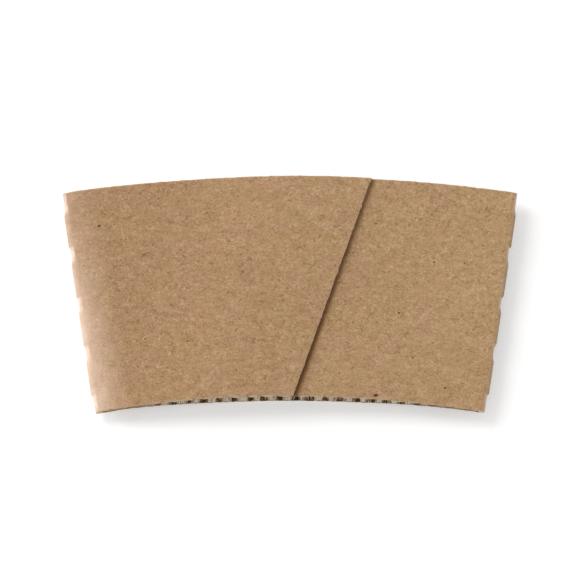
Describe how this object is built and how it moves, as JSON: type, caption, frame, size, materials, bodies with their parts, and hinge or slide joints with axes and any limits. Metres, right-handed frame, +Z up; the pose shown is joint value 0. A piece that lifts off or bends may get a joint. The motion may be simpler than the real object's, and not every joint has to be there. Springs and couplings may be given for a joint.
{
  "type": "coffee cup sleeve",
  "caption": "Kraft corrugated sleeve for a hot paper cup, folded flat and sprung slightly open, with a slanted glued lap on the front.",
  "frame": {"origin": "middle of the sleeve's plan box, on the surface that it lies on", "axes": "+X along the sleeve's width to the right as seen from above with the wide edge away, +Y towards the wide edge, +Z up out of the front"},
  "size_m": [0.13, 0.0674, 0.0093],
  "materials": {
    "kraft_board": "matte kraft, uncoated"
  },
  "bodies": {
    "root": {"sleeve": "kraft_board"}
  },
  "joints": []
}
